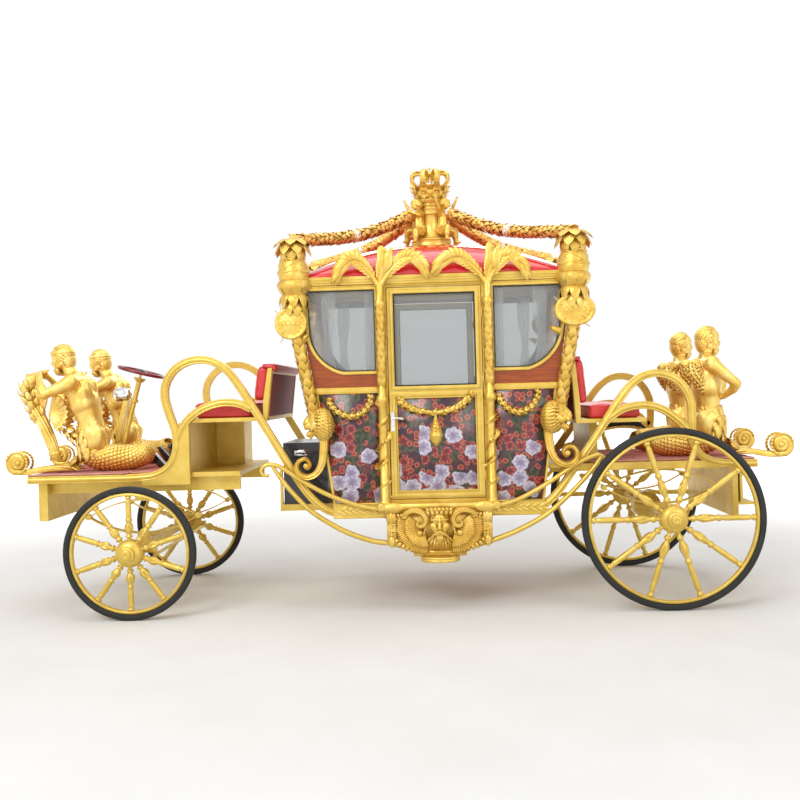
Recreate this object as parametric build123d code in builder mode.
"""
Gilded state carriage with its own steering, as separate pieces in their own places.

Millimetres, +X to the rear, +Y to the carriage's right side, +Z up. The origin is on the
ground under the middle of the whole length and width. The left side is -Y.
"""

import math
import os

from build123d import *

os.makedirs("parts", exist_ok=True)

# Overall length, from the front scrolls to the rear scrolls
half_length = 3080

# Running gear
track_half = 850
front_axle_x = -1974
rear_axle_x = 2045
front_wheel_radius = 500
rear_wheel_radius = 668
tyre_width = 55
tyre_height = 46
rim_width = 44
rim_height = 27
spoke_count = 10
hub_radius = 104
hub_inner = 60
hub_cap_radius = 54
hub_cap_reach = 104
spindle_radius = 15
bearing_gap = 0.05
seat_gap = 0.3
kingpin_y = 740
kingpin_radius = 10
boss_radius = 22
boss_height = 46
lug_thickness = 20
lug_clearance = 2
steer_arm_length = 160
arm_width = 30
arm_thickness = 26
tie_rod_radius = 12
tie_pin_radius = 8
beam_size = 50
axle_tube_radius = 30
pad_depth = 12

# Leaf springs
spring_y = 500
spring_width = 45
leaf_thickness = 12
spring_half_span = 435
spring_rise = 135
spring_eye_radius = 22

# Side frames
frame_outer = 665
frame_depth = 50
frame_width = 58
bead_width = 32
bead_depth = 8
rail_z = 1045
sill_z = 729
sill_top = 810
sill_proud = 16

# Platforms
deck_thickness = 34
carpet_thickness = 14
front_deck_end = -1180
carpet_step = -2045
kick_board_x = -1645
rear_deck_start = 1180
platform_front = -2815
platform_rear = 2726

# Coach body
body_x = 339
wall_thickness = 40
wall_outer = 665
waist_z = 1670
eave_z = 2470
half_at_sill = 800
half_at_waist = 915
half_at_eave = 1050
floor_thickness = 25
door_half = 361
door_gap = 6
door_bottom = 838
door_top = 2436
door_window_bottom = 1690
door_window_top = 2392
door_stile = 46
window_bottom = 1812
window_top = 2430
moulding_width = 22
moulding_proud = 12
pane_thickness = 8
hinge_offset = 10
hinge_radius = 7
hinge_heights = (1010, 1740, 2240)
cornice_height = 60
cornice_overhang = 26
roof_rise = 310

# Ornaments
column_offset = 405
column_radius = 34
column_centre = 30
block_half = 397
block_top = 810
block_ledge = 50
block_bottom = 450
block_proud = 80
strap_width = 36
strap_depth = 36
corner_column_radius = 41
swag_radius = 17
garland_radius = 36
pedestal_radius = 86
crown_top = 3505

wall_inner = wall_outer - wall_thickness
frame_inner = frame_outer - frame_depth
frame_centre = frame_outer - frame_depth / 2
deck_top = rail_z + frame_width / 2
carpet_top = deck_top + carpet_thickness
hinge_x = body_x + door_half
hinge_y = wall_outer + hinge_offset
sides = (("left", -1), ("right", 1))
# Domed end of a limb as shares of its radius, across and along
dome = ((0, 0.95), (0.5, 0.82), (0.86, 0.48), (1, 0))
limb_seam = 0.7
made = {}


def side_plane(y):
    """Plane square to the carriage's width at a given y, with its sketch axes along +X and +Z."""
    return Plane(origin=(0, y, 0), x_dir=(1, 0, 0), z_dir=(0, -1, 0))


def wall_half(z):
    """Half of the coach body's length at height z: two straight flares that meet at the waist."""
    if z < waist_z:
        share = (z - sill_top) / (waist_z - sill_top)
        return half_at_sill + share * (half_at_waist - half_at_sill)
    share = (z - waist_z) / (eave_z - waist_z)
    return half_at_waist + share * (half_at_eave - half_at_waist)


def smooth_radii(points):
    """Largest radius at each corner of a route that its two runs allow."""
    radii = []
    for before, here, after in zip(points, points[1:], points[2:]):
        run_in = Vector(*here) - Vector(*before)
        run_out = Vector(*after) - Vector(*here)
        turn = math.radians(run_in.get_angle(run_out))
        radii.append(0.45 * min(run_in.length, run_out.length) / math.tan(turn / 2))
    return radii


def bar(points, width, depth, y, bead=0, bead_across=0):
    """Bar of rectangular section, with an optional raised bead outside, along a route at y."""
    outward = -1 if y < 0 else 1
    with BuildPart() as piece:
        with BuildLine(side_plane(y)) as route:
            FilletPolyline(*points, radius=smooth_radii(points))
        start = Plane(origin=route.line @ 0, x_dir=(0, outward, 0), z_dir=route.line % 0)
        with BuildSketch(start):
            Rectangle(depth, width)
            if bead:
                with Locations((depth / 2 + bead / 2, 0)):
                    Rectangle(bead, bead_across)
        sweep()
    return piece.part


def limb(start, end, start_radius, end_radius):
    """Tapered limb with domed ends, turned about the line between two points."""
    run = Vector(*end) - Vector(*start)
    across = Plane(origin=start, z_dir=run)
    out = across.x_dir * math.cos(limb_seam) + across.y_dir * math.sin(limb_seam)
    low_dome = [(start_radius * across_share, -start_radius * along_share) for across_share, along_share in dome]
    high_dome = [(end_radius * across_share, run.length + end_radius * along_share)
                 for across_share, along_share in reversed(dome)]
    with BuildPart() as piece:
        with BuildSketch(Plane(origin=start, x_dir=out, z_dir=out.cross(run.normalized()))):
            with BuildLine():
                Polyline(*low_dome, *high_dome, close=True)
            make_face()
        revolve(axis=Axis(start, run))
    return piece.part


def turned(profile, axis_x, axis_y):
    """Turned upright form from rows of radius and height."""
    with BuildPart() as piece:
        with BuildSketch(Plane(origin=(axis_x, axis_y, 0), x_dir=(1, 0, 0), z_dir=(0, -1, 0))):
            with BuildLine():
                Polyline((0, profile[0][1]), *profile, (0, profile[-1][1]), close=True)
            make_face()
        revolve(axis=Axis((axis_x, axis_y, 0), (0, 0, 1)))
    return piece.part


def save_shape(shape, name):
    """Label a finished shape and write its file."""
    shape.label = name
    made[name] = shape
    export_step(shape, f"parts/{name}.step")


def save(piece, name):
    """Label a finished sub-part and write its file."""
    save_shape(piece.part, name)


# Side frames: one moulded bar runs from the front deck over the driver's seat, under the coach
# and over the rear seat; route points are x, z
frame_route = [
    (platform_front, rail_z), (-1965, rail_z), (-1810, 1062), (-1702, 1138), (-1652, 1262),
    (-1658, 1390), (-1708, 1535), (-1740, 1660), (-1722, 1772), (-1650, 1872), (-1545, 1928),
    (-1430, 1937), (-1325, 1908), (-1232, 1832), (-1112, 1649), (-737, 1012), (-612, 838),
    (-500, 751), (-350, sill_z), (1040, sill_z), (1140, 765), (1240, 860), (1543, 1285),
    (1692, 1512), (1810, 1667), (1925, 1737), (2067, 1735), (2185, 1660), (2250, 1526),
    (2256, 1382), (2246, 1239), (2296, 1123), (2391, 1062), (2533, rail_z), (platform_rear, rail_z),
]
front_arm_route = [
    (-1655, 1330), (-1613, 1412), (-1540, 1500), (-1435, 1568), (-1300, 1606), (-1160, 1592), (-1066, 1545),
]
rear_arm_route = [
    (1600, 1375), (1661, 1428), (1762, 1484), (1905, 1504), (2032, 1470), (2144, 1387), (2235, 1292),
]
side_panel = [
    (-1930, 985), (-1556, 985), (-1556, 1478), (-1645, 1370), (-1650, 1262), (-1702, 1138),
    (-1810, 1062), (-1930, 1040),
]
# The long bar is bent in three lengths that are welded end to end
frame_weld_x = (-760, 1400)
for side_name, side in sides:
    frame_y = side * frame_centre
    long_bar = bar(frame_route, frame_width, frame_depth, frame_y, bead_depth, bead_width)
    front_arm = bar(front_arm_route, frame_width, frame_depth, frame_y, bead_depth, bead_width)
    rear_arm = bar(rear_arm_route, frame_width, frame_depth, frame_y, bead_depth, bead_width)
    with BuildPart() as main_frame:
        add(long_bar)
        add(front_arm)
        add(rear_arm)
        with BuildSketch(side_plane(side * frame_outer)):
            with Locations((1900, rail_z)):
                Rectangle(1060, frame_width)
            with BuildLine():
                Polyline(*side_panel, close=True)
            make_face()
        extrude(amount=side * (frame_depth - 15))
        with BuildSketch(side_plane(side * (frame_outer + sill_proud))):
            with Locations((body_x, (sill_top + sill_z - frame_width / 2) / 2)):
                Rectangle(2 * half_at_sill, sill_top - sill_z + frame_width / 2)
        extrude(amount=side * (frame_depth + sill_proud))
    lengths = []
    uncut = main_frame.part
    for weld_x in frame_weld_x:
        weld = Plane(origin=(weld_x, 0, 0), x_dir=(0, 1, 0), z_dir=(1, 0, 0))
        lengths += split(uncut, bisect_by=weld, keep=Keep.BOTTOM).solids()
        uncut = split(uncut, bisect_by=weld, keep=Keep.TOP)
    lengths += uncut.solids()
    save_shape(Compound(lengths), f"main_frame_{side_name}")

# Platforms and their under-frame
cross_tubes = (-380, body_x, 1060)
front_spring_top = 866
rear_spring_top = 1004
with BuildPart() as platforms:
    with BuildSketch(Plane.XY.offset(deck_top - deck_thickness)):
        with Locations(((platform_front + front_deck_end) / 2, 0)):
            Rectangle(front_deck_end - platform_front, 2 * frame_inner)
        with Locations(((platform_rear + rear_deck_start) / 2, 0)):
            Rectangle(platform_rear - rear_deck_start, 2 * frame_inner)
    extrude(amount=deck_thickness)
save(platforms, "platforms")

with BuildPart() as carpets:
    with BuildSketch(Plane.XY.offset(deck_top)):
        with Locations(((platform_front + carpet_step) / 2, 0)):
            Rectangle(carpet_step - platform_front, 2 * frame_outer)
        with Locations(((carpet_step + kick_board_x) / 2, 0)):
            Rectangle(kick_board_x - carpet_step, 2 * frame_inner - 2 * seat_gap)
        with Locations(((platform_rear + 1300) / 2, 0)):
            Rectangle(platform_rear - 1300, 2 * frame_inner - 2 * seat_gap)
    extrude(amount=carpet_thickness)
save(carpets, "carpets")

# Chassis: long beams over the springs, cross tubes under the coach, end boards
beam_top = deck_top - deck_thickness
with BuildPart() as chassis:
    for beam_start, beam_end, beam_low in ((-2690, -1200, 925), (1200, 2560, rear_spring_top)):
        with BuildSketch(Plane.XY.offset(beam_low)):
            with Locations(((beam_start + beam_end) / 2, spring_y), ((beam_start + beam_end) / 2, -spring_y)):
                Rectangle(beam_end - beam_start, spring_width)
        extrude(amount=beam_top - beam_low)
    with BuildSketch(Plane.XY.offset(front_spring_top)):
        with Locations((front_axle_x, spring_y), (front_axle_x, -spring_y)):
            Rectangle(120, spring_width)
    extrude(amount=925 - front_spring_top)
    for tube_x in cross_tubes:
        with BuildSketch(Plane.XY.offset(sill_top - beam_size)):
            with Locations((tube_x, 0)):
                Rectangle(beam_size, 2 * frame_inner)
        extrude(amount=beam_size)
    with BuildSketch(side_plane(600)):
        with Locations((-2725, (720 + beam_top) / 2)):
            Rectangle(70, beam_top - 720)
        with Locations((2580, (640 + beam_top) / 2)):
            Rectangle(40, beam_top - 640)
        with Locations((2660, 738)):
            Rectangle(120, 20)
        with Locations((2625, (748 + beam_top) / 2)):
            Rectangle(20, beam_top - 748)
    extrude(amount=1200)
save(chassis, "chassis")

with BuildPart() as marker_lamps:
    for lamp_y in (-430, 430):
        with BuildSketch(Plane(origin=(-2760, lamp_y, 815), x_dir=(0, 1, 0), z_dir=(-1, 0, 0))):
            Circle(32)
        extrude(amount=22, taper=25)
save(marker_lamps, "marker_lamps")

# Leaf springs: an upper and a lower bowed leaf between two eyes, and the seats on the axle
spring_rows = (
    (front_axle_x, front_wheel_radius + beam_size / 2, front_spring_top),
    (rear_axle_x, rear_wheel_radius + axle_tube_radius, rear_spring_top),
)
with BuildPart() as leaf_springs:
    for spring_x, seat_z, top_z in spring_rows:
        eye_z = top_z - spring_rise
        low_z = eye_z - spring_rise
        for side_name, side in sides:
            with BuildSketch(side_plane(side * (spring_y + spring_width / 2))):
                for crest_z, inward in ((top_z, -leaf_thickness), (low_z, leaf_thickness)):
                    with BuildLine():
                        outer = ThreePointArc(
                            (spring_x - spring_half_span, eye_z),
                            (spring_x, crest_z),
                            (spring_x + spring_half_span, eye_z),
                        )
                        inner = ThreePointArc(
                            (spring_x - spring_half_span + leaf_thickness, eye_z),
                            (spring_x, crest_z + inward),
                            (spring_x + spring_half_span - leaf_thickness, eye_z),
                        )
                        Line(outer @ 0, inner @ 0)
                        Line(outer @ 1, inner @ 1)
                    make_face()
                with Locations((spring_x - spring_half_span, eye_z), (spring_x + spring_half_span, eye_z)):
                    Circle(spring_eye_radius)
                with Locations((spring_x, (seat_z + low_z + leaf_thickness) / 2)):
                    Rectangle(90, low_z + leaf_thickness - seat_z)
            extrude(amount=side * spring_width)
save(leaf_springs, "leaf_springs")

# Front axle: square beam with a fork and a kingpin at each end
fork_half = boss_height / 2 + lug_clearance
beam_end_y = kingpin_y - 38
with BuildPart() as front_axle:
    with BuildSketch(Plane.XY.offset(front_wheel_radius - beam_size / 2)):
        with Locations((front_axle_x, 0)):
            Rectangle(beam_size, 2 * beam_end_y)
    extrude(amount=beam_size)
    for side_name, side in sides:
        fork_centre_y = side * (beam_end_y - 15)
        with BuildSketch(Plane.XY.offset(front_wheel_radius - fork_half - lug_thickness)):
            with Locations((front_axle_x, fork_centre_y)):
                Rectangle(beam_size, 30)
        extrude(amount=2 * (fork_half + lug_thickness))
        for lug_base in (-fork_half - lug_thickness, fork_half):
            with BuildSketch(Plane.XY.offset(front_wheel_radius + lug_base)):
                with Locations((front_axle_x, side * (kingpin_y + beam_end_y) / 2)):
                    Rectangle(beam_size, kingpin_y - beam_end_y)
                with Locations((front_axle_x, side * kingpin_y)):
                    Circle(beam_size / 2)
            extrude(amount=lug_thickness)
        with BuildSketch(Plane.XY.offset(front_wheel_radius - fork_half)):
            with Locations((front_axle_x, side * kingpin_y)):
                Circle(kingpin_radius)
        extrude(amount=2 * fork_half)
save(front_axle, "front_axle")

# Knuckles: kingpin boss, wheel spindle and steering arm with a pin for the tie rod
spindle_root_y = kingpin_y + boss_radius - 4
spindle_tip_y = track_half + 64
arm_tip_x = front_axle_x + steer_arm_length
tie_rod_z = front_wheel_radius - arm_thickness / 2 - 4 - tie_rod_radius
for side_name, side in sides:
    with BuildPart() as knuckle:
        with BuildSketch(Plane.XY.offset(front_wheel_radius - boss_height / 2)):
            with Locations((front_axle_x, side * kingpin_y)):
                Circle(boss_radius)
        extrude(amount=boss_height)
        with BuildSketch(Plane(origin=(front_axle_x, side * spindle_root_y, front_wheel_radius),
                               x_dir=(1, 0, 0), z_dir=(0, side, 0))):
            Circle(spindle_radius)
        extrude(amount=spindle_tip_y - spindle_root_y)
        with BuildSketch(Plane(origin=(front_axle_x, side * spindle_root_y, front_wheel_radius),
                               x_dir=(1, 0, 0), z_dir=(0, side, 0))):
            Circle(spindle_radius + 7)
        extrude(amount=track_half - hub_inner - 3 - spindle_root_y)
        with BuildSketch(Plane.XY.offset(front_wheel_radius - arm_thickness / 2)):
            with Locations(((front_axle_x + arm_tip_x) / 2, side * kingpin_y)):
                Rectangle(steer_arm_length, arm_width)
            with Locations((arm_tip_x, side * kingpin_y)):
                Circle(arm_width / 2)
        extrude(amount=arm_thickness)
        with BuildSketch(Plane.XY.offset(tie_rod_z - tie_rod_radius - 4)):
            with Locations((arm_tip_x, side * kingpin_y)):
                Circle(tie_pin_radius)
        extrude(amount=front_wheel_radius - tie_rod_z + tie_rod_radius + 4)
        with BuildSketch(Plane.XY.offset(front_wheel_radius - boss_height / 2)):
            with Locations((front_axle_x, side * kingpin_y)):
                Circle(kingpin_radius + bearing_gap)
        extrude(amount=boss_height, mode=Mode.SUBTRACT)
    save(knuckle, f"knuckle_{side_name}")

with BuildPart() as tie_rod:
    with BuildSketch(Plane(origin=(arm_tip_x, -kingpin_y, tie_rod_z), x_dir=(1, 0, 0), z_dir=(0, 1, 0))):
        Circle(tie_rod_radius)
    extrude(amount=2 * kingpin_y)
    with BuildSketch(Plane.XY.offset(tie_rod_z - tie_rod_radius)):
        with Locations((arm_tip_x, kingpin_y), (arm_tip_x, -kingpin_y)):
            Circle(arm_width / 2 + 3)
    extrude(amount=2 * tie_rod_radius)
    with BuildSketch(Plane.XY.offset(tie_rod_z - tie_rod_radius)):
        with Locations((arm_tip_x, kingpin_y), (arm_tip_x, -kingpin_y)):
            Circle(tie_pin_radius + bearing_gap)
    extrude(amount=2 * tie_rod_radius, mode=Mode.SUBTRACT)
save(tie_rod, "tie_rod")

# Rear axle: a tube with a round drive housing, necked down to the spindles
rear_axle_profile = [
    (spindle_radius, -spindle_tip_y), (spindle_radius, -track_half + hub_inner + 3),
    (axle_tube_radius, -track_half + hub_inner + 3), (axle_tube_radius, -150), (110, -60),
    (110, 60), (axle_tube_radius, 150), (axle_tube_radius, track_half - hub_inner - 3),
    (spindle_radius, track_half - hub_inner - 3), (spindle_radius, spindle_tip_y),
]
with BuildPart() as rear_axle:
    with BuildSketch(Plane(origin=(rear_axle_x, 0, rear_wheel_radius), x_dir=(1, 0, 0), z_dir=(0, 0, 1))):
        with BuildLine():
            Polyline((0, -spindle_tip_y), *rear_axle_profile, (0, spindle_tip_y), close=True)
        make_face()
    revolve(axis=Axis((rear_axle_x, 0, rear_wheel_radius), (0, 1, 0)))
    with BuildSketch(Plane.XY.offset(rear_wheel_radius - axle_tube_radius - pad_depth)):
        with Locations((rear_axle_x, spring_y), (rear_axle_x, -spring_y)):
            Rectangle(90, 60)
    extrude(amount=pad_depth + 10)
save(rear_axle, "rear_axle")

# Wheels: rim, turned spokes and a stepped hub; spoke rows are share of length, radius
spoke_profile = (
    (0, 17), (0.1, 23), (0.14, 15), (0.33, 26), (0.44, 16), (0.92, 19), (0.93, 24), (1, 24),
)
hub_profile = (
    (spindle_radius + bearing_gap, -hub_inner), (66, -hub_inner), (hub_radius, -34), (hub_radius, 34),
    (84, 54), (hub_cap_radius, 60), (hub_cap_radius, 92), (32, hub_cap_reach), (0, hub_cap_reach),
    (0, 70), (spindle_radius + bearing_gap, 70),
)


def wheel_form(radius):
    """Wheel without its tyre, about the Z axis, with its outer face up."""
    rim_outer = radius - tyre_height
    rim_inner = rim_outer - rim_height
    spoke_length = rim_inner - hub_radius + 8
    spoke_rows = [(hub_radius - 4 + share * spoke_length, r) for share, r in spoke_profile]
    with BuildPart() as spoke:
        with BuildSketch():
            with BuildLine():
                Polyline((spoke_rows[0][0], 0), *spoke_rows, (spoke_rows[-1][0], 0), close=True)
            make_face()
        revolve(axis=Axis.X)
    with BuildPart() as form:
        with BuildSketch(Plane.XZ):
            with Locations(((rim_outer + rim_inner) / 2, 0)):
                Rectangle(rim_height, rim_width)
            with BuildLine():
                Polyline(*hub_profile, close=True)
            make_face()
        revolve(axis=Axis.Z)
        with PolarLocations(0, spoke_count):
            add(spoke.part)
    return form.part


def tyre_form(radius):
    """Solid rubber tyre about the Z axis."""
    with BuildPart() as form:
        with BuildSketch(Plane.XZ):
            with Locations((radius - (tyre_height - seat_gap) / 2, 0)):
                RectangleRounded(tyre_height - seat_gap, tyre_width, 16)
        revolve(axis=Axis.Z)
    return form.part


# A front wheel rests with a spoke upright, a rear wheel with a spoke level
axle_rows = (
    ("front", front_axle_x, front_wheel_radius, (0, 0, 1)),
    ("rear", rear_axle_x, rear_wheel_radius, (1, 0, 0)),
)
for axle_name, axle_x, wheel_radius, spoke_way in axle_rows:
    plain_wheel = wheel_form(wheel_radius)
    plain_tyre = tyre_form(wheel_radius)
    for side_name, side in sides:
        wheel_place = Plane(
            origin=(axle_x, side * track_half, wheel_radius), x_dir=spoke_way, z_dir=(0, side, 0)
        )
        with BuildPart() as wheel:
            with Locations(wheel_place):
                add(plain_wheel)
        save(wheel, f"wheel_{axle_name}_{side_name}")
        with BuildPart() as tyre:
            with Locations(wheel_place):
                add(plain_tyre)
        save(tyre, f"tyre_{axle_name}_{side_name}")

# Steering column, its support board, dash cone and clamp; the wheel turns on the column's tip
column_foot = (-2228, -200, 1250)
column_top = (-2078, -200, 1790)
column_run = Vector(*column_top) - Vector(*column_foot)
column_axis = column_run.normalized()
steering_plane = Plane(origin=column_top, x_dir=(0, 1, 0), z_dir=column_axis)
steering_wheel_radius = 190
steering_rim_radius = 14
steering_wheel_lift = 70
with BuildPart() as steering_column:
    with BuildSketch(Plane(origin=column_foot, x_dir=(0, 1, 0), z_dir=column_axis)):
        Circle(19)
    extrude(amount=column_run.length)
    with BuildSketch(steering_plane):
        Circle(30)
    extrude(amount=30, taper=-35)
    with BuildSketch(steering_plane.offset(30)):
        Circle(10)
    extrude(amount=60)
    with BuildSketch(steering_plane.offset(-170)):
        Circle(30)
    extrude(amount=26)
    with BuildSketch(side_plane(-165)):
        with BuildLine():
            Polyline((-2330, carpet_top), (-2205, 1640), (-2165, 1640), (-2250, 1300), (-2222, carpet_top),
                     close=True)
        make_face()
    extrude(amount=70)
save(steering_column, "steering_column")

with BuildPart() as steering_wheel:
    with BuildSketch(steering_plane.offset(steering_wheel_lift)):
        Circle(34)
    extrude(amount=26)
    for angle in (90, 210, 330):
        with BuildSketch(steering_plane.offset(steering_wheel_lift + 6)):
            with Locations(Location((0, 0, 0), (0, 0, angle))):
                with Locations((steering_wheel_radius / 2, 0)):
                    Rectangle(steering_wheel_radius, 30)
        extrude(amount=10)
    rim_plane = Plane(origin=steering_plane.offset(steering_wheel_lift + 11).origin,
                      x_dir=(0, 1, 0), z_dir=column_axis)
    with BuildSketch(Plane(origin=rim_plane.origin, x_dir=rim_plane.x_dir, z_dir=rim_plane.y_dir)):
        with Locations((steering_wheel_radius - steering_rim_radius, 0)):
            Circle(steering_rim_radius)
    revolve(axis=Axis(rim_plane.origin, column_axis))
    with BuildSketch(steering_plane.offset(steering_wheel_lift)):
        Circle(10 + bearing_gap)
    extrude(amount=20 + bearing_gap, mode=Mode.SUBTRACT)
save(steering_wheel, "steering_wheel")

# Headlamp on the column's board, pedal and hand lever on the front deck
lamp_centre = (-2235, -200, 1690)
with BuildPart() as headlamp:
    with BuildSketch(side_plane(-200)):
        with BuildLine():
            Polyline((-2288, 1690), (-2288, 1745), (-2262, 1748), (-2205, 1724), (-2190, 1690), close=True)
        make_face()
    revolve(axis=Axis(lamp_centre, (1, 0, 0)))
    with BuildSketch(Plane.XY.offset(1640)):
        with Locations((-2190, -200)):
            Rectangle(24, 24)
    extrude(amount=40)
save(headlamp, "headlamp")

with BuildPart() as pedals:
    for pedal_y in (-100, 170):
        with BuildSketch(side_plane(pedal_y)):
            with BuildLine():
                Polyline((-2040, 1236), (-2010, 1240), (-1880, carpet_top), (-1950, carpet_top), close=True)
            make_face()
        extrude(amount=70)
    with BuildSketch(Plane.XY.offset(carpet_top)):
        with Locations((-1745, -500)):
            Circle(14)
    extrude(amount=170)
    with Locations((-1745, -500, carpet_top + 186)):
        Sphere(22)
save(pedals, "pedals")

# Coach floor, then the walls: an outline with two straight flares, cut for windows and doors
floor_half = half_at_sill - wall_thickness
with BuildPart() as cabin_floor:
    with BuildSketch(Plane.XY.offset(sill_top)):
        with Locations((body_x, 0)):
            Rectangle(2 * floor_half, 2 * wall_inner)
    extrude(amount=floor_thickness)
save(cabin_floor, "cabin_floor")

wall_outline = [
    (body_x - half_at_sill, sill_top), (body_x - half_at_waist, waist_z), (body_x - half_at_eave, eave_z),
    (body_x + half_at_eave, eave_z), (body_x + half_at_waist, waist_z), (body_x + half_at_sill, sill_top),
]
window_near = body_x - column_offset - 42
window_far_top = body_x - half_at_eave + 88


def quarter_window(shrink=0):
    """Front quarter window: upright at the door, with a big curve at its outer foot."""
    with BuildSketch() as outline:
        with BuildLine():
            Polyline((window_near - 250, window_bottom), (window_near, window_bottom),
                     (window_near, window_top), (window_far_top, window_top), (window_far_top + 12, 2110))
            ThreePointArc((window_far_top + 12, 2110), (window_far_top + 92, 1918),
                          (window_near - 250, window_bottom))
        make_face()
        if shrink:
            offset(amount=shrink, kind=Kind.INTERSECTION)
    return outline.sketch


def both_ends(shape):
    """The shape and its mirror image about the middle of the coach."""
    return [shape, shape.mirror(Plane(origin=(body_x, 0, 0), z_dir=(1, 0, 0)))]


side_windows = both_ends(quarter_window())
side_window_rings = both_ends(quarter_window(moulding_width))
side_panes = both_ends(quarter_window(-seat_gap))
for side_name, side in sides:
    outer_plane = side_plane(side * wall_outer)
    with BuildPart() as side_wall:
        with BuildSketch(outer_plane):
            with BuildLine():
                Polyline(*wall_outline, close=True)
            make_face()
            with Locations((body_x, (door_bottom - door_gap + door_top + door_gap) / 2)):
                Rectangle(2 * door_half, door_top - door_bottom + 2 * door_gap, mode=Mode.SUBTRACT)
        extrude(amount=side * wall_thickness)
        with BuildSketch(outer_plane):
            for ring in side_window_rings:
                add(ring)
            for end in (-1, 1):
                with Locations((body_x + end * (half_at_waist + column_offset) / 2, waist_z)):
                    Rectangle(half_at_waist - column_offset - 20, 44)
            with Locations((body_x, 1600)):
                Rectangle(2 * column_offset + 92, 2000, mode=Mode.SUBTRACT)
        extrude(amount=-side * moulding_proud)
        with BuildSketch(side_plane(side * (wall_outer + moulding_proud))):
            for window in side_windows:
                add(window)
        extrude(amount=side * (wall_thickness + moulding_proud), mode=Mode.SUBTRACT)
        for hinge_z in hinge_heights:
            for lift in (-24, 24):
                with BuildSketch(Plane.XY.offset(hinge_z + lift - 11)):
                    with Locations((hinge_x, side * hinge_y)):
                        Circle(hinge_radius)
                    with Locations((hinge_x + 10, side * (wall_outer + 2))):
                        Rectangle(20, 4)
                extrude(amount=22)
    save(side_wall, f"side_wall_{side_name}")

# End walls follow the flares between the side walls, each with one wide window
end_wall_outline = [
    (body_x - wall_half(z) + inset, z)
    for z, inset in ((sill_top, 0), (waist_z, 0), (eave_z, 0),
                     (eave_z, wall_thickness), (waist_z, wall_thickness), (sill_top, wall_thickness))
]
end_pane_inset = (wall_thickness - pane_thickness) / 2
end_pane_outline = [
    (body_x - wall_half(z) + inset, z)
    for z, inset in ((1850.3, end_pane_inset), (2399.7, end_pane_inset),
                     (2399.7, end_pane_inset + pane_thickness), (1850.3, end_pane_inset + pane_thickness))
]
with BuildPart() as end_walls:
    with BuildSketch(side_plane(wall_inner)):
        with BuildLine():
            Polyline(*end_wall_outline, close=True)
        make_face()
    extrude(amount=2 * wall_inner)
    with BuildSketch(Plane.YZ.offset(-900)):
        with Locations((0, 2125)):
            Rectangle(960, 550)
    extrude(amount=500, mode=Mode.SUBTRACT)
    mirror(about=Plane(origin=(body_x, 0, 0), z_dir=(1, 0, 0)))
save(end_walls, "end_walls")

with BuildPart() as coach_glass:
    for side_name, side in sides:
        with BuildSketch(side_plane(side * (wall_outer - end_pane_inset))):
            for pane in side_panes:
                add(pane)
        extrude(amount=side * pane_thickness)
    with BuildSketch(side_plane(480 - seat_gap)) as end_pane:
        with BuildLine():
            Polyline(*end_pane_outline, close=True)
        make_face()
        mirror(about=Plane(origin=(body_x, 0, 0), z_dir=(1, 0, 0)))
    extrude(amount=960 - 2 * seat_gap)
save(coach_glass, "coach_glass")

# Cornice with the ceiling board, and the domed roof over it
cornice_x = 2 * (half_at_eave + cornice_overhang)
cornice_y = 2 * (wall_outer + cornice_overhang)
roof_base = eave_z + cornice_height
with BuildPart() as cornice:
    for share, low, high in ((0.35, 0, 0.3), (0.7, 0.3, 0.6), (1, 0.6, 1)):
        with BuildSketch(Plane.XY.offset(eave_z + low * cornice_height)):
            with Locations((body_x, 0)):
                Rectangle(cornice_x - 2 * (1 - share) * cornice_overhang,
                          cornice_y - 2 * (1 - share) * cornice_overhang)
        extrude(amount=(high - low) * cornice_height)
    with BuildSketch(Plane.XY.offset(eave_z)):
        with Locations((body_x, 0)):
            Rectangle(2 * half_at_eave - 160, 2 * wall_inner - 60)
    extrude(amount=cornice_height - 20, mode=Mode.SUBTRACT)
save(cornice, "cornice")

crown_z = roof_base + roof_rise


def vault_profile(half_width):
    """Rows of a roof profile: an upright eave curve and a flatter crown curve on each side."""
    shoulder = half_width * 0.76
    shoulder_z = crown_z - 0.39 * roof_rise
    with BuildSketch() as profile:
        with BuildLine():
            Line((half_width, roof_base), (-half_width, roof_base))
            ThreePointArc((-half_width, roof_base), (-half_width * 0.945, roof_base + 0.33 * roof_rise),
                          (-shoulder, shoulder_z))
            ThreePointArc((-shoulder, shoulder_z), (0, crown_z), (shoulder, shoulder_z))
            ThreePointArc((shoulder, shoulder_z), (half_width * 0.945, roof_base + 0.33 * roof_rise),
                          (half_width, roof_base))
        make_face()
    return profile.sketch


with BuildPart() as roof:
    with BuildSketch(Plane(origin=(body_x, 900, 0), x_dir=(1, 0, 0), z_dir=(0, -1, 0))):
        add(vault_profile(half_at_eave + 14))
    extrude(amount=1800)
    with BuildSketch(Plane(origin=(body_x - 1300, 0, 0), x_dir=(0, 1, 0), z_dir=(1, 0, 0))):
        add(vault_profile(wall_outer + 14))
    extrude(amount=2600, mode=Mode.INTERSECT)
save(roof, "roof")

# Cabin benches, all seat cushions, outer seats
bench_depth = 390
bench_top = 1210
bench_start = body_x - floor_half
with BuildPart() as cabin_benches:
    for end in (-1, 1):
        with BuildSketch(Plane.XY.offset(sill_top + floor_thickness)):
            with Locations((body_x + end * (floor_half - bench_depth / 2), 0)):
                Rectangle(bench_depth, 2 * wall_inner - 40)
        extrude(amount=bench_top - sill_top - floor_thickness)
save(cabin_benches, "cabin_benches")

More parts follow.
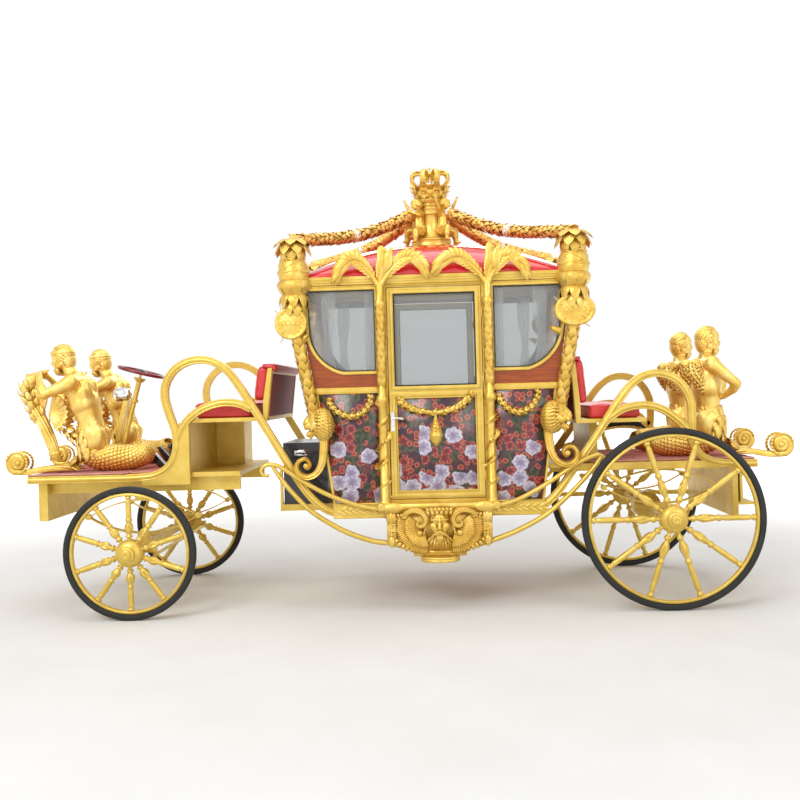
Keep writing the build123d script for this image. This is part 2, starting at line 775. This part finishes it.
# Outer seats, driver's first: a cushion row is its ends in X, base and top; back and shell rows are x, z
seat_rows = (
    (-1545, -1075, 1485, 1600),
    (1495, 1905, 1405, 1510),
)
back_rows = (
    ((-1070, 1603), (-1026, 1888), (-940.1, 1888), (-988.3, 1603)),
    ((1492, 1513), (1460, 1872), (1396.8, 1872), (1430.5, 1513)),
)
shell_rows = (
    ((-1060, 1485), (-988, 1485), (-988, 1600), (-944, 1860), (-912, 1860), (-960, 1455), (-1560, 1455),
     (-1560, 1485)),
    ((1482, 1405), (1430, 1405), (1430, 1510), (1398, 1850), (1366, 1850), (1396, 1375), (1925, 1375),
     (1925, 1405)),
)
seat_half = 585
with BuildPart() as seat_frames:
    for rows in shell_rows:
        with BuildSketch(side_plane(frame_inner)):
            with BuildLine():
                Polyline(*rows, close=True)
            make_face()
        extrude(amount=2 * frame_inner)
    with BuildSketch(Plane.XY.offset(deck_top)):
        with Locations((kick_board_x + 45, 0)):
            Rectangle(90, 2 * frame_inner)
        with Locations((kick_board_x + 210, 400)):
            Rectangle(240, 330)
    extrude(amount=1455 - deck_top)
    with BuildSketch(Plane.XY.offset(carpet_top)):
        with Locations((1560, 0)):
            Rectangle(60, 800)
    extrude(amount=1375 - carpet_top)
save(seat_frames, "seat_frames")

with BuildPart() as seat_cushions:
    for cushion_start, cushion_end, cushion_base, cushion_top in seat_rows:
        with BuildSketch(Plane.XY.offset(cushion_base + seat_gap)):
            with Locations(((cushion_start + cushion_end) / 2, 0)):
                RectangleRounded(cushion_end - cushion_start, 2 * seat_half, 30)
        extrude(amount=cushion_top - cushion_base - seat_gap)
    for rows in back_rows:
        with BuildSketch(side_plane(seat_half)):
            with BuildLine():
                Polyline(*rows, close=True)
            make_face()
        extrude(amount=2 * seat_half)
    for end in (-1, 1):
        with BuildSketch(Plane.XY.offset(bench_top + seat_gap)):
            with Locations((body_x + end * (floor_half - bench_depth / 2 - 5), 0)):
                RectangleRounded(bench_depth, 2 * seat_half, 30)
        extrude(amount=110)
        cushion_back = [
            (body_x + end * (wall_half(z) - wall_thickness - inset), z)
            for z, inset in ((1325, 0.5), (waist_z - 20, 0.5), (waist_z - 20, 80), (1325, 80))
        ]
        with BuildSketch(side_plane(seat_half)):
            with BuildLine():
                Polyline(*cushion_back, close=True)
            make_face()
        extrude(amount=2 * seat_half)
save(seat_cushions, "seat_cushions")

with BuildPart() as curtains:
    for end in (-1, 1):
        for curtain_offset, curtain_half in ((490, 45), (805, 60)):
            for side_name, side in sides:
                with BuildSketch(Plane.XY.offset(1760)):
                    with Locations((body_x + end * curtain_offset, side * (wall_inner - 14))):
                        Rectangle(2 * curtain_half, 12)
                extrude(amount=eave_z - seat_gap - 1760)
save(curtains, "curtains")

# Doors: leaf with window and mouldings, swag with a bud, lever handle and hinge knuckles
door_pane_half = door_half - door_gap - door_stile
for side_name, side in sides:
    outer_plane = side_plane(side * wall_outer)
    with BuildPart() as door:
        with BuildSketch(outer_plane):
            with Locations((body_x, (door_bottom + door_top) / 2)):
                Rectangle(2 * (door_half - door_gap), door_top - door_bottom)
        extrude(amount=side * wall_thickness)
        with BuildSketch(outer_plane):
            with Locations((body_x, (door_window_bottom + door_window_top) / 2)):
                Rectangle(2 * (door_pane_half + moulding_width), door_window_top - door_window_bottom + 44)
            with Locations((body_x, (door_bottom + 20 + 1640) / 2)):
                Rectangle(2 * (door_pane_half + moulding_width), 1640 - door_bottom - 20)
                Rectangle(2 * door_pane_half, 1640 - door_bottom - 20 - 44, mode=Mode.SUBTRACT)
        extrude(amount=-side * moulding_proud)
        with BuildSketch(side_plane(side * (wall_outer + moulding_proud))):
            with Locations((body_x, (door_window_bottom + door_window_top) / 2)):
                Rectangle(2 * door_pane_half, door_window_top - door_window_bottom)
        extrude(amount=side * (wall_thickness + moulding_proud), mode=Mode.SUBTRACT)
        with BuildLine(side_plane(side * (wall_outer + 12))) as swag_route:
            swag_arc = ThreePointArc((body_x - 270, 1595), (body_x - 10, 1486), (body_x + 245, 1606))
        with BuildSketch(Plane(origin=swag_arc @ 0, z_dir=swag_arc % 0)):
            Circle(swag_radius)
        sweep(path=swag_arc)
        with BuildSketch(Plane(origin=(body_x - 8, side * wall_outer, 0), x_dir=(1, 0, 0), z_dir=(0, -1, 0))):
            with BuildLine():
                Polyline((0, 1226), (34, 1262), (52, 1310), (40, 1370), (12, 1412), (12, 1490), (0, 1490),
                         close=True)
            make_face()
        revolve(axis=Axis((body_x - 8, side * wall_outer, 0), (0, 0, 1)))
        with BuildSketch(side_plane(side * wall_inner)):
            with Locations((body_x, 1350)):
                Rectangle(300, 400)
        extrude(amount=side * 100, mode=Mode.SUBTRACT)
        with BuildSketch(outer_plane):
            with Locations((body_x - door_half + 30, 1425)):
                RectangleRounded(34, 150, 12)
        extrude(amount=-side * (moulding_proud + 4))
        with BuildSketch(outer_plane):
            with Locations((body_x - door_half + 30, 1450)):
                Circle(8)
        extrude(amount=-side * 42)
        with BuildSketch(side_plane(side * (wall_outer + 34))):
            with Locations((body_x - door_half + 65, 1450)):
                RectangleRounded(90, 16, 6)
        extrude(amount=-side * 12)
        for hinge_z in hinge_heights:
            with BuildSketch(Plane.XY.offset(hinge_z - 12.5)):
                with Locations((hinge_x, side * hinge_y)):
                    Circle(hinge_radius)
                with Locations((hinge_x - 12, side * (wall_outer + 2))):
                    Rectangle(20, 4)
            extrude(amount=25)
    save(door, f"door_{side_name}")
    with BuildPart() as door_glass:
        with BuildSketch(side_plane(side * (wall_outer - end_pane_inset))):
            with Locations((body_x, (door_window_bottom + door_window_top) / 2)):
                Rectangle(2 * (door_pane_half - seat_gap),
                          door_window_top - door_window_bottom - 2 * seat_gap)
        extrude(amount=side * pane_thickness)
    save(door_glass, f"door_glass_{side_name}")

# Control cabinet on its tray, between the driver's seat and the coach
cabinet_start = -890
cabinet_end = -540
cabinet_half = 350
tray_base = 730
with BuildPart() as cabinet_tray:
    with BuildSketch(Plane.XY.offset(tray_base)):
        with Locations(((cabinet_start - 25 + cross_tubes[0] - beam_size / 2) / 2, 0)):
            Rectangle(cross_tubes[0] - beam_size / 2 - cabinet_start + 25, 2 * cabinet_half + 50)
    extrude(amount=50)
    with BuildSketch(Plane.XY.offset(tray_base + 50)):
        with Locations((cabinet_start - 15, cabinet_half + 5), (cabinet_start - 15, -cabinet_half - 5)):
            Rectangle(20, 40)
    extrude(amount=270)
save(cabinet_tray, "cabinet_tray")

with BuildPart() as control_cabinet:
    with BuildSketch(Plane.XY.offset(tray_base + 50)):
        with Locations(((cabinet_start + cabinet_end) / 2, 0)):
            Rectangle(cabinet_end - cabinet_start, 2 * cabinet_half - 40)
    extrude(amount=485)
    with BuildSketch(side_plane(cabinet_half - 20)):
        with Locations((-745, 1185)):
            Rectangle(110, 46)
    extrude(amount=-6)
save(control_cabinet, "control_cabinet")

# Carved block under each door with a mask, ram's-horn scrolls and the half-round step
block_front = wall_outer + block_proud
ledge_half = column_offset + column_radius + 6
with BuildPart() as mask_steps:
    for side_name, side in sides:
        proud_start = side * (wall_outer + sill_proud)
        with BuildSketch(side_plane(proud_start)):
            with BuildLine():
                Polyline((body_x - block_half, block_top - block_ledge), (body_x + block_half, block_top - block_ledge),
                         (body_x + block_half, 490), (body_x + 300, 470), (body_x + 190, block_bottom),
                         (body_x - 190, block_bottom), (body_x - 300, 470), (body_x - block_half, 490),
                         close=True)
            make_face()
        extrude(amount=-side * (block_proud - sill_proud - 18))
        with BuildSketch(side_plane(proud_start)):
            with Locations((body_x, block_top - block_ledge / 2)):
                Rectangle(2 * ledge_half, block_ledge)
        extrude(amount=-side * (block_proud - sill_proud))
        with BuildSketch(side_plane(proud_start)):
            with Locations((body_x, (block_bottom + 690) / 2)):
                Rectangle(380, 690 - block_bottom)
        extrude(amount=side * (sill_proud + frame_depth))
        for end in (-1, 1):
            scroll_x = body_x + end * 170
            with BuildSketch(side_plane(proud_start)):
                with Locations((scroll_x, 650)):
                    Circle(78)
            extrude(amount=-side * (block_proud - sill_proud + 4))
            with BuildSketch(side_plane(proud_start)):
                with Locations((scroll_x, 650)):
                    Circle(34)
            extrude(amount=-side * (block_proud - sill_proud + 16))
            for rib in range(7):
                angle = math.radians(-20 - 20 * rib)
                tip = (scroll_x + end * 150 * math.cos(angle), side * (block_front - 18), 640 + 150 * math.sin(angle))
                root = (scroll_x + end * 60 * math.cos(angle), side * (block_front - 18), 640 + 60 * math.sin(angle))
                with Locations(Plane(origin=((tip[0] + root[0]) / 2, tip[1], (tip[2] + root[2]) / 2),
                                     z_dir=Vector(*tip) - Vector(*root))):
                    Cone(9, 15, 90)
        with Locations((body_x, side * (block_front - 8), 610)):
            Sphere(72)
        with BuildSketch(Plane(origin=(body_x, side * (block_front - 6), 0), x_dir=(1, 0, 0), z_dir=(0, -1, 0))):
            with BuildLine():
                Polyline((0, 470), (18, 490), (64, 560), (72, 620), (60, 690), (66, 720), (40, 760), (0, 770),
                         close=True)
            make_face()
        revolve(axis=Axis((body_x, side * (block_front - 6), 0), (0, 0, 1)))
        with Locations(Plane(origin=(body_x, side * (block_front + 66), 612), z_dir=(0, side * 0.35, -1))):
            Cone(8, 20, 62)
        with BuildSketch(Plane.XY.offset(368)):
            with BuildLine():
                Line((body_x - 150, side * wall_outer), (body_x + 150, side * wall_outer))
                ThreePointArc((body_x + 150, side * wall_outer), (body_x, side * (wall_outer + 130)),
                              (body_x - 150, side * wall_outer))
            make_face()
        extrude(amount=40)
        with BuildSketch(Plane.XY.offset(408)):
            with Locations((body_x, side * (wall_outer + 20))):
                Rectangle(400, 60)
        extrude(amount=block_bottom - 408)
    for cut_base, cut_half in ((300, frame_inner), (sill_z - frame_width / 2, wall_outer + sill_proud)):
        with BuildSketch(Plane.XY.offset(cut_base)):
            with Locations((body_x, 0)):
                Rectangle(1200, 2 * cut_half)
        extrude(amount=700, mode=Mode.SUBTRACT)
save(mask_steps, "mask_steps")

# Long straps from the block to the frame's ends
strap_inner = wall_outer + sill_proud
strap_routes = (
    [(-948, 1035), (-992, 1055), (-990, 1100), (-935, 1122), (-848, 1100), (-675, 985), (-490, 882),
     (-284, 800), (body_x - ledge_half, 766)],
    [(-915, 1118), (-855, 1020), (-765, 905), (-620, 755), (-394, 612), (-196, 534), (body_x - block_half, 510)],
    [(1600, 1120), (1517, 1136), (1379, 1078), (1152, 930), (943, 820), (body_x + ledge_half, 774)],
    [(1560, 1130), (1500, 1040), (1340, 868), (1146, 702), (937, 588), (body_x + block_half, 514)],
)
strap_bars = [
    bar(route, strap_width, strap_depth, side * (strap_inner + strap_depth / 2))
    for side_name, side in sides
    for route in strap_routes
]
with BuildPart() as body_straps:
    for strap in strap_bars:
        add(strap)
    for side_name, side in sides:
        for boss_x, boss_z in ((-737, 1014), (1404, 1090)):
            with BuildSketch(side_plane(side * (wall_outer + bead_depth))):
                with Locations((boss_x, boss_z)):
                    Circle(12)
            extrude(amount=-side * (sill_proud + strap_depth / 2 - bead_depth))
    add(made["mask_steps"], mode=Mode.SUBTRACT)
save(body_straps, "body_straps")

# Palm columns at the door posts, with three arching fronds each
column_y = wall_outer + column_centre
column_rows = [
    (46, block_top), (46, 822), (column_radius, 830), (column_radius - 3, 1560), (44, 1580), (44, 1612),
    (column_radius - 3, 1630), (column_radius - 3, 2290), (44, 2305), (44, 2330), (28, 2345), (34, 2450),
    (24, 2490),
]
frond_rows = ((-1, 318, 2512, 2690), (1, 330, 2560, 2695))
column_forms = [
    turned(column_rows, body_x + end * column_offset, side * column_y)
    for side_name, side in sides
    for end in (-1, 1)
]
with BuildPart() as palm_columns:
    for form in column_forms:
        add(form)
    for side_name, side in sides:
        for end in (-1, 1):
            root_x = body_x + end * column_offset
            for lean, reach, tip_z, crest_z in frond_rows:
                with BuildSketch(side_plane(side * (wall_outer + cornice_overhang))):
                    with BuildLine():
                        ThreePointArc((root_x, 2455), (root_x + lean * reach * 0.28, 2640),
                                      (root_x + lean * reach * 0.62, crest_z))
                        ThreePointArc((root_x + lean * reach * 0.62, crest_z),
                                      (root_x + lean * reach * 0.86, crest_z - 60), (root_x + lean * reach, tip_z))
                        ThreePointArc((root_x + lean * reach, tip_z), (root_x + lean * reach * 0.5, 2560),
                                      (root_x + lean * 24, 2440))
                        Line((root_x + lean * 24, 2440), (root_x, 2455))
                    make_face()
                extrude(amount=-side * 34)
    for side_name, side in sides:
        with BuildSketch(Plane.XY.offset(block_top)):
            with Locations((body_x, side * (wall_outer - 50))):
                Rectangle(1200, 100)
        extrude(amount=eave_z - block_top, mode=Mode.SUBTRACT)
    add(cornice.part, mode=Mode.SUBTRACT)
    add(roof.part, mode=Mode.SUBTRACT)
save(palm_columns, "palm_columns")

# Corner ornaments: leaning scaled trunk, trophy with helmet and petals, shield, lion's head, scroll
trophy_rows = [
    (40, 2290), (92, 2330), (60, 2372), (88, 2400), (84, 2455), (104, 2478), (98, 2560), (104, 2600),
    (88, 2650), (70, 2664), (106, 2690), (112, 2716), (60, 2730), (66, 2765), (92, 2790), (30, 2782),
]
corner_y = wall_outer + 30
scroll_route = [(-518, 1330), (-522, 1180), (-545, 1090), (-600, 1042), (-655, 1036)]
scroll_eye = (-655, 1092)
scroll_eye_radius = 56
scroll_depth = 60
shield_centre = (-735, 2185)
shield_radius = 122
ornament_forms = []
for side_name, side in sides:
    head_y = side * (wall_outer + 62)
    ornament_forms.append([
        turned(trophy_rows, -712, side * corner_y),
        limb((-568, side * corner_y, 1400), (-740, side * corner_y, 2330), corner_column_radius - 4,
             corner_column_radius),
        limb((-545, head_y, 1430), (-640, head_y, 1412), 104, 50),
        limb((-575, head_y, 1370), (-600, head_y, 1330), 60, 40),
        limb((-530, side * (corner_y + 40), 1500), (-520, side * (corner_y + 66), 1545), 26, 14),
        limb((shield_centre[0], side * (corner_y + 30), shield_centre[1]),
             (shield_centre[0], side * (corner_y + 50), shield_centre[1]), 50, 40),
    ])
rear_scroll_shift = (-25, 50)
front_scrolls = [bar(scroll_route, 46, scroll_depth, side * (wall_outer + scroll_depth / 2 + 4)) for name, side in sides]
with BuildPart() as corner_ornaments:
    for forms in ornament_forms:
        for form in forms:
            add(form)
    for side_name, side in sides:
        with BuildSketch(side_plane(side * (corner_y + 55))):
            with Locations(shield_centre):
                Circle(shield_radius)
        extrude(amount=-side * 22)
    mirror(about=Plane(origin=(body_x, 0, 0), z_dir=(1, 0, 0)))
    for end in (-1, 1):
        for scroll, (side_name, side) in zip(front_scrolls, sides):
            if end < 0:
                add(scroll)
                eye = scroll_eye
            else:
                shift = Location((rear_scroll_shift[0], 0, rear_scroll_shift[1]))
                add(scroll.mirror(Plane(origin=(body_x, 0, 0), z_dir=(1, 0, 0))).moved(shift))
                eye = (2 * body_x - scroll_eye[0] + rear_scroll_shift[0], scroll_eye[1] + rear_scroll_shift[1])
            with BuildSketch(side_plane(side * (wall_outer + 4))):
                with Locations(eye):
                    Circle(scroll_eye_radius)
            extrude(amount=-side * scroll_depth)
    with BuildSketch(side_plane(wall_outer)):
        with BuildLine():
            Polyline(*wall_outline, close=True)
        make_face()
    extrude(amount=2 * wall_outer, mode=Mode.SUBTRACT)
    with BuildSketch(Plane.XY.offset(eave_z)):
        with Locations((body_x, 0)):
            Rectangle(cornice_x, cornice_y)
    extrude(amount=roof_rise + 100, mode=Mode.SUBTRACT)
    for end in (-1, 1):
        with BuildSketch(side_plane(wall_outer + moulding_proud + seat_gap)):
            with Locations((body_x + end * (half_at_eave - 106), 2290)):
                Rectangle(110, 360)
        extrude(amount=2 * (wall_outer + moulding_proud + seat_gap), mode=Mode.SUBTRACT)
save(corner_ornaments, "corner_ornaments")

# Swags on the quarter panels
with BuildPart() as panel_swags:
    for side_name, side in sides:
        swag_y = side * (wall_outer + 12)
        for swag_points in (((-470, 1612), (-305, 1474), (-160, 1615)), ((814, 1612), (962, 1474), (1108, 1622))):
            with BuildLine(side_plane(swag_y)):
                swag_arc = ThreePointArc(*swag_points)
            with BuildSketch(Plane(origin=swag_arc @ 0, z_dir=swag_arc % 0)):
                Circle(swag_radius)
            sweep(path=swag_arc)
    with BuildSketch(side_plane(wall_outer)):
        with Locations((body_x, 1500)):
            Rectangle(2000, 600)
    extrude(amount=2 * wall_outer, mode=Mode.SUBTRACT)
save(panel_swags, "panel_swags")

# Roof pedestal, crown with eight arches, four cherubs and four garlands
pedestal_rows = [
    (165, roof_base + 200), (165, 2868), (150, 2880), (118, 2890), (112, 2912), (96, 2920),
    (pedestal_radius, 2935), (pedestal_radius - 4, 3090), (96, 3100), (96, 3116), (pedestal_radius, 3124),
    (pedestal_radius, 3190), (110, 3205), (120, 3232),
]
pedestal_form = turned(pedestal_rows, body_x, 0)
with BuildPart() as roof_pedestal:
    add(pedestal_form)
    add(roof.part, mode=Mode.SUBTRACT)
save(roof_pedestal, "roof_pedestal")

crown_rows = [
    (118, 3232), (150, 3262), (146, 3300), (112, 3316), (120, 3340), (96, 3356), (84, 3356),
]
crown_base = turned(crown_rows, body_x, 0)
with BuildPart() as crown:
    add(crown_base)
    for angle in range(0, 360, 45):
        rise_x = math.cos(math.radians(angle))
        rise_y = math.sin(math.radians(angle))
        with BuildLine(Plane(origin=(body_x, 0, 0), x_dir=(rise_x, rise_y, 0), z_dir=(rise_y, -rise_x, 0))):
            arch = ThreePointArc((96, 3340), (140, 3410), (0, 3440))
        with BuildSketch(Plane(origin=arch @ 0, x_dir=(-rise_y, rise_x, 0), z_dir=arch % 0)):
            Rectangle(28, 14)
        sweep(path=arch)
    with Locations((body_x, 0, 3452)):
        Sphere(28)
    with BuildSketch(side_plane(6)):
        with Locations((body_x, (3470 + crown_top) / 2)):
            Rectangle(12, crown_top - 3470)
        with Locations((body_x, 3488)):
            Rectangle(30, 10)
    extrude(amount=12)
save(crown, "crown")

# Limb rows of a cherub facing +X from the pedestal: start, end, start radius, end radius
cherub_rows = (
    ((128, 0, 2960), (132, 0, 3080), 42, 46), ((132, 0, 3080), (140, 0, 3120), 26, 22),
    ((140, 0, 3120), (146, 0, 3158), 30, 44), ((136, -30, 2950), (210, -48, 2962), 34, 26),
    ((210, -48, 2962), (206, -60, 2900), 25, 16), ((136, 30, 2950), (206, 56, 2945), 34, 26),
    ((206, 56, 2945), (214, 60, 2880), 25, 16), ((132, -40, 3090), (190, -70, 3120), 20, 15),
    ((190, -70, 3120), (214, -96, 3170), 16, 11), ((132, 40, 3090), (188, 66, 3070), 20, 16),
    ((188, 66, 3070), (226, 40, 3086), 16, 12),
)
cherub_limbs = [limb(*row) for row in cherub_rows]
with BuildPart() as cherub_form:
    for piece in cherub_limbs:
        add(piece)
with BuildPart() as cherubs:
    for angle in (38, 142, 218, 322):
        with Locations(Location((body_x, 0, 0), (0, 0, angle))):
            add(cherub_form.part)
    add(roof_pedestal.part, mode=Mode.SUBTRACT)
    add(roof.part, mode=Mode.SUBTRACT)
save(cherubs, "cherubs")

garland_rows = ((158, 3116), (235, 3072), (420, 2985), (640, 2905), (860, 2860), (1090, 2830), (1180, 2822))
garland_angle = math.degrees(math.atan2(corner_y, 712 + body_x))
with BuildPart() as garland_form:
    with BuildLine(Plane.XZ) as garland_route:
        FilletPolyline(*garland_rows, radius=smooth_radii(garland_rows))
    with BuildSketch(Plane(origin=garland_route.line @ 0, z_dir=garland_route.line % 0)):
        Circle(garland_radius)
    sweep()
with BuildPart() as roof_garlands:
    for angle in (garland_angle, 180 - garland_angle, 180 + garland_angle, -garland_angle):
        with Locations(Location((body_x, 0, 0), (0, 0, angle))):
            add(garland_form.part)
    for name in ("cherubs", "roof", "corner_ornaments"):
        add(made[name], mode=Mode.SUBTRACT)
save(roof_garlands, "roof_garlands")

# Tritons as limb rows: start, end, start radius, end radius
front_triton_rows = (
    ((-2285, -400, 1420), (-2330, -400, 1640), 100, 96), ((-2330, -400, 1640), (-2480, -400, 1820), 98, 90),
    ((-2480, -400, 1820), (-2585, -400, 1925), 60, 48), ((-2640, -400, 1930), (-2620, -400, 1985), 70, 92),
    ((-2690, -400, 1900), (-2680, -400, 1862), 50, 36),
    ((-2480, -520, 1815), (-2720, -560, 1690), 52, 40), ((-2720, -560, 1690), (-2810, -470, 1815), 38, 26),
    ((-2480, -280, 1815), (-2700, -250, 1700), 52, 40), ((-2700, -250, 1700), (-2800, -340, 1815), 38, 26),
    ((-2730, -400, 1895), (-2862, -400, 1832), 22, 50),
    ((-2285, -400, 1380), (-2390, -400, 1250), 104, 112), ((-2390, -400, 1250), (-2230, -360, 1205), 114, 110),
    ((-2230, -360, 1205), (-2090, -330, 1190), 108, 96), ((-2090, -330, 1190), (-1990, -290, 1210), 92, 62),
    ((-2700, -400, 1194), (-2760, -400, 1420), 42, 84), ((-2760, -400, 1420), (-2860, -400, 1740), 80, 64),
    ((-2700, -400, 1420), (-2560, -400, 1560), 70, 100),
)
rear_triton_rows = (
    ((2500, -370, 1420), (2470, -370, 1640), 104, 92), ((2470, -370, 1640), (2470, -370, 1790), 96, 108),
    ((2470, -370, 1850), (2480, -370, 1915), 56, 48), ((2480, -370, 1915), (2465, -370, 1985), 66, 88),
    ((2520, -370, 1930), (2530, -370, 1885), 50, 34),
    ((2470, -500, 1820), (2640, -520, 1660), 54, 38), ((2640, -520, 1660), (2560, -420, 1600), 36, 26),
    ((2470, -240, 1820), (2620, -230, 1660), 54, 38), ((2620, -230, 1660), (2560, -330, 1600), 36, 26),
    ((2330, -370, 1560), (2370, -370, 1830), 24, 62),
    ((2500, -370, 1400), (2480, -370, 1260), 118, 112), ((2480, -370, 1260), (2330, -340, 1200), 110, 108),
    ((2330, -340, 1200), (2190, -320, 1188), 106, 92), ((2190, -320, 1188), (2080, -280, 1180), 88, 56),
)
scroll_radius = 93
scroll_arm_top = 1150
scroll_arm_width = 90


def triton_pair(rows, pads):
    """A triton and its mirror image; each pad row is x, y, base height and radius."""
    limbs = [limb(*row) for row in rows]
    with BuildPart() as pair:
        for piece in limbs:
            add(piece)
        for pad_x, pad_y, pad_z, pad_radius in pads:
            with BuildSketch(Plane.XY.offset(pad_z)):
                with Locations((pad_x, pad_y)):
                    Circle(pad_radius)
            extrude(amount=60)
        mirror(about=Plane.XZ)
    return pair.part


front_pads = ((-2230, -360, carpet_top, 78), (-2700, -400, scroll_arm_top, 34))
rear_pads = ((2330, -340, carpet_top, 78),)
front_pair = triton_pair(front_triton_rows, front_pads)
rear_pair = triton_pair(rear_triton_rows, rear_pads)
with BuildPart() as front_tritons:
    add(front_pair)
save(front_tritons, "front_tritons")

with BuildPart() as rear_tritons:
    add(rear_pair)
save(rear_tritons, "rear_tritons")

# Scrolled arms that stand out past both decks: scroll centre height, deck edge and arm root in X
scroll_z = 1168
arm_rows = ((-1, platform_front, -2512), (1, platform_rear, 2606))
with BuildPart() as scroll_arms:
    for end, deck_edge, arm_root in arm_rows:
        scroll_x = end * (half_length - scroll_radius)
        for side_name, side in sides:
            arm_y = side * 420
            with BuildSketch(side_plane(arm_y + scroll_arm_width / 2 + 10)):
                with Locations((scroll_x, scroll_z)):
                    Circle(scroll_radius)
            extrude(amount=scroll_arm_width + 20)
            with BuildSketch(side_plane(arm_y + scroll_arm_width / 2)):
                with BuildLine():
                    Polyline((scroll_x, scroll_z - 80), (deck_edge, carpet_top), (arm_root, carpet_top),
                             (arm_root, scroll_arm_top), (scroll_x, scroll_arm_top), close=True)
                make_face()
            extrude(amount=scroll_arm_width)
            with BuildSketch(side_plane(arm_y + scroll_arm_width / 2 + 19)):
                with Locations((scroll_x, scroll_z)):
                    Circle(scroll_radius * 0.43)
            extrude(amount=scroll_arm_width + 38)
save(scroll_arms, "scroll_arms")
